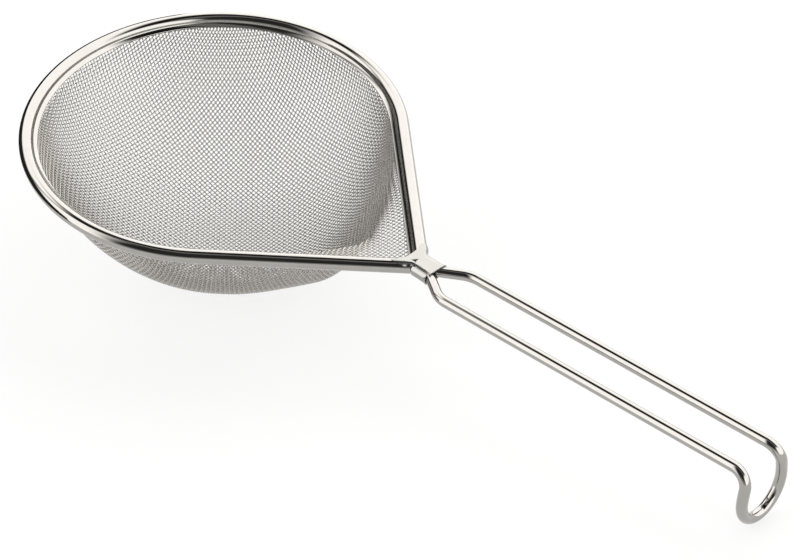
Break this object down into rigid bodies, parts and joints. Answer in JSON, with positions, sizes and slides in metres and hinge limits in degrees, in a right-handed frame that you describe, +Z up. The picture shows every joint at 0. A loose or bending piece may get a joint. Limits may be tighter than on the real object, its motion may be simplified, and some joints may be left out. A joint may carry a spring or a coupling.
{
  "type": "tea strainer",
  "caption": "Wire tea strainer: teardrop rim with a woven wire bowl, folded throat clip and a slim two-bar handle that ends in a turned-down hanging hook.",
  "frame": {"origin": "centre of the bounding box, on the surface that the bowl's bottom and the hook's tip rest on", "axes": "+X along the handle from the bowl to the hook, +Y to the left of the handle, +Z up"},
  "size_m": [0.1828, 0.08, 0.0365],
  "materials": {
    "polished_wire": "polished",
    "polished_sheet": "polished",
    "woven_wire": "bright woven wire",
    "clip_sheet": "semi-polished"
  },
  "bodies": {
    "root": {"frame_wire": "polished_wire", "rim_channel": "polished_sheet", "mesh_bowl": "woven_wire", "throat_clip": "clip_sheet"}
  },
  "joints": []
}
